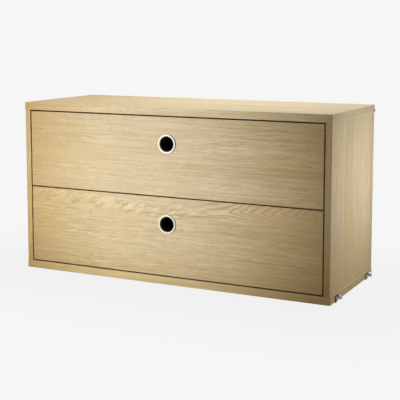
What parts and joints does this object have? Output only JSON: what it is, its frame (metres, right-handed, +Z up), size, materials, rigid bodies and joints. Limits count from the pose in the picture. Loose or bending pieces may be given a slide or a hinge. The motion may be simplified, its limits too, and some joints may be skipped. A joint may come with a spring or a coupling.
{
  "type": "drawer unit",
  "caption": "Low oak wall cabinet with stacked full-width drawers on roller runners, round finger-hole pulls, and strap hooks that hang it between the side frames of a shelf.",
  "frame": {"origin": "middle of the footprint, pulls and hooks included, on the plane of the hooks' feet", "axes": "+X to the right as seen from the front, +Y to the back, +Z up; the drawers open towards -Y"},
  "size_m": [0.8046, 0.3026, 0.408],
  "materials": {
    "cabinet_oak": "oak veneer, satin clear lacquer",
    "front_oak": "oak veneer with level grain, satin clear lacquer",
    "box_beech": "plain beech, thin clear lacquer",
    "thin_board": "thin hardboard, smooth on one face",
    "white_plastic": "white moulded plastic, semi-gloss",
    "black_plastic": "black moulded plastic",
    "zinc_strap": "bright zinc-plated steel strap",
    "screw_steel": "zinc-plated steel",
    "peg_steel": "dulled steel",
    "runner_steel": "cream powder-coated steel",
    "nylon": "natural nylon"
  },
  "bodies": {
    "cabinet": {"top_panel": "cabinet_oak", "bottom_panel": "cabinet_oak", "left_side_panel": "cabinet_oak", "right_side_panel": "cabinet_oak", "back_panel": "thin_board", "front_left_hook": "zinc_strap", "front_right_hook": "zinc_strap", "rear_left_hook": "zinc_strap", "rear_right_hook": "zinc_strap", "hook_screws": "screw_steel", "cabinet_runner_screws": "screw_steel", "left_locating_peg": "peg_steel", "right_locating_peg": "peg_steel", "lower_left_cabinet_runner": "runner_steel", "lower_right_cabinet_runner": "runner_steel", "upper_left_cabinet_runner": "runner_steel", "upper_right_cabinet_runner": "runner_steel"},
    "upper_drawer": {"upper_drawer_front": "front_oak", "upper_drawer_left_side": "box_beech", "upper_drawer_right_side": "box_beech", "upper_drawer_back": "box_beech", "upper_drawer_bottom": "thin_board", "upper_pull_ring": "white_plastic", "upper_pull_sleeve": "black_plastic", "upper_drawer_runner_screws": "screw_steel", "upper_left_drawer_runner": "runner_steel", "upper_right_drawer_runner": "runner_steel"},
    "lower_drawer": {"lower_drawer_front": "front_oak", "lower_drawer_left_side": "box_beech", "lower_drawer_right_side": "box_beech", "lower_drawer_back": "box_beech", "lower_drawer_bottom": "thin_board", "lower_pull_ring": "white_plastic", "lower_pull_sleeve": "black_plastic", "lower_drawer_runner_screws": "screw_steel", "lower_left_drawer_runner": "runner_steel", "lower_right_drawer_runner": "runner_steel"},
    "lower_left_front_roller": {"lower_left_front_roller": "nylon"},
    "lower_left_rear_roller": {"lower_left_rear_roller": "nylon"},
    "lower_right_front_roller": {"lower_right_front_roller": "nylon"},
    "lower_right_rear_roller": {"lower_right_rear_roller": "nylon"},
    "upper_left_front_roller": {"upper_left_front_roller": "nylon"},
    "upper_left_rear_roller": {"upper_left_rear_roller": "nylon"},
    "upper_right_front_roller": {"upper_right_front_roller": "nylon"},
    "upper_right_rear_roller": {"upper_right_rear_roller": "nylon"}
  },
  "joints": [
    {"name": "upper_drawer_slide", "type": "slide", "parent": "cabinet", "child": "upper_drawer", "axis": [0, -1, 0], "range_m": [0, 0.19]},
    {"name": "lower_drawer_slide", "type": "slide", "parent": "cabinet", "child": "lower_drawer", "axis": [0, -1, 0], "range_m": [0, 0.19]},
    {"name": "upper_left_front_roller_spin", "type": "hinge", "parent": "cabinet", "child": "upper_left_front_roller", "pos_m": [-0.37, -0.11875, 0.2268], "axis": [1, 0, 0], "range_deg": [0, 1365]},
    {"name": "upper_left_rear_roller_spin", "type": "hinge", "parent": "upper_drawer", "child": "upper_left_rear_roller", "pos_m": [-0.3675, 0.10725, 0.225], "axis": [1, 0, 0], "range_deg": [0, 1365]},
    {"name": "upper_right_front_roller_spin", "type": "hinge", "parent": "cabinet", "child": "upper_right_front_roller", "pos_m": [0.37, -0.11875, 0.2268], "axis": [1, 0, 0], "range_deg": [0, 1365]},
    {"name": "upper_right_rear_roller_spin", "type": "hinge", "parent": "upper_drawer", "child": "upper_right_rear_roller", "pos_m": [0.3675, 0.10725, 0.225], "axis": [1, 0, 0], "range_deg": [0, 1365]},
    {"name": "lower_left_front_roller_spin", "type": "hinge", "parent": "cabinet", "child": "lower_left_front_roller", "pos_m": [-0.37, -0.11875, 0.0433], "axis": [1, 0, 0], "range_deg": [0, 1365]},
    {"name": "lower_left_rear_roller_spin", "type": "hinge", "parent": "lower_drawer", "child": "lower_left_rear_roller", "pos_m": [-0.3675, 0.10725, 0.0415], "axis": [1, 0, 0], "range_deg": [0, 1365]},
    {"name": "lower_right_front_roller_spin", "type": "hinge", "parent": "cabinet", "child": "lower_right_front_roller", "pos_m": [0.37, -0.11875, 0.0433], "axis": [1, 0, 0], "range_deg": [0, 1365]},
    {"name": "lower_right_rear_roller_spin", "type": "hinge", "parent": "lower_drawer", "child": "lower_right_rear_roller", "pos_m": [0.3675, 0.10725, 0.0415], "axis": [1, 0, 0], "range_deg": [0, 1365]}
  ],
  "couplings": [
    {"joint": "upper_left_front_roller_spin", "follows": "upper_drawer_slide", "rad_per_m": 125},
    {"joint": "upper_left_rear_roller_spin", "follows": "upper_drawer_slide", "rad_per_m": 125},
    {"joint": "upper_right_front_roller_spin", "follows": "upper_drawer_slide", "rad_per_m": 125},
    {"joint": "upper_right_rear_roller_spin", "follows": "upper_drawer_slide", "rad_per_m": 125},
    {"joint": "lower_left_front_roller_spin", "follows": "lower_drawer_slide", "rad_per_m": 125},
    {"joint": "lower_left_rear_roller_spin", "follows": "lower_drawer_slide", "rad_per_m": 125},
    {"joint": "lower_right_front_roller_spin", "follows": "lower_drawer_slide", "rad_per_m": 125},
    {"joint": "lower_right_rear_roller_spin", "follows": "lower_drawer_slide", "rad_per_m": 125}
  ]
}
